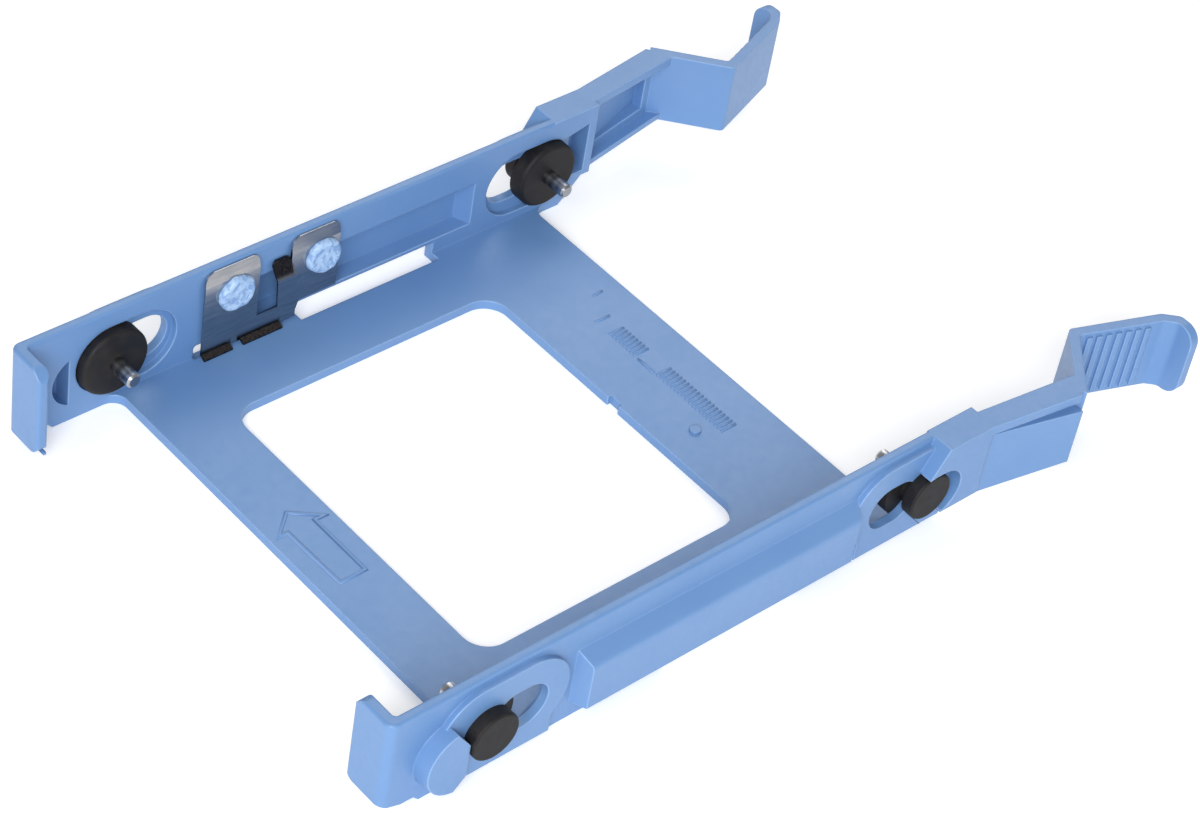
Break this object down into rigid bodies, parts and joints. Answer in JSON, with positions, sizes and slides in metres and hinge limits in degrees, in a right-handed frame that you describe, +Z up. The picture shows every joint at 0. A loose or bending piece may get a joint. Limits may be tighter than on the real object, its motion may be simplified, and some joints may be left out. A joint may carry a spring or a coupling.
{
  "type": "hot swap drive caddy",
  "caption": "Moulded tray with sprung latch arms and finger tabs that holds one drive on rubber mounted pins.",
  "frame": {"origin": "under the middle of the overall box, on the plane that the tray rests on", "axes": "+X from the rail with the clip to the plain rail, +Y from the rear lips to the finger tabs, +Z up out of the tray"},
  "size_m": [0.123, 0.188, 0.0221],
  "materials": {
    "blue_plastic": "satin moulded",
    "grommet_rubber": "matte",
    "pin_steel": "turned",
    "spring_steel": "bright rolled sheet"
  },
  "bodies": {
    "root": {"tray_frame": "blue_plastic", "grounding_clip": "spring_steel", "grommet_left_rear": "grommet_rubber", "pin_left_rear": "pin_steel", "grommet_left_front": "grommet_rubber", "pin_left_front": "pin_steel", "grommet_right_rear": "grommet_rubber", "pin_right_rear": "pin_steel", "grommet_right_front": "grommet_rubber", "pin_right_front": "pin_steel"}
  },
  "joints": []
}
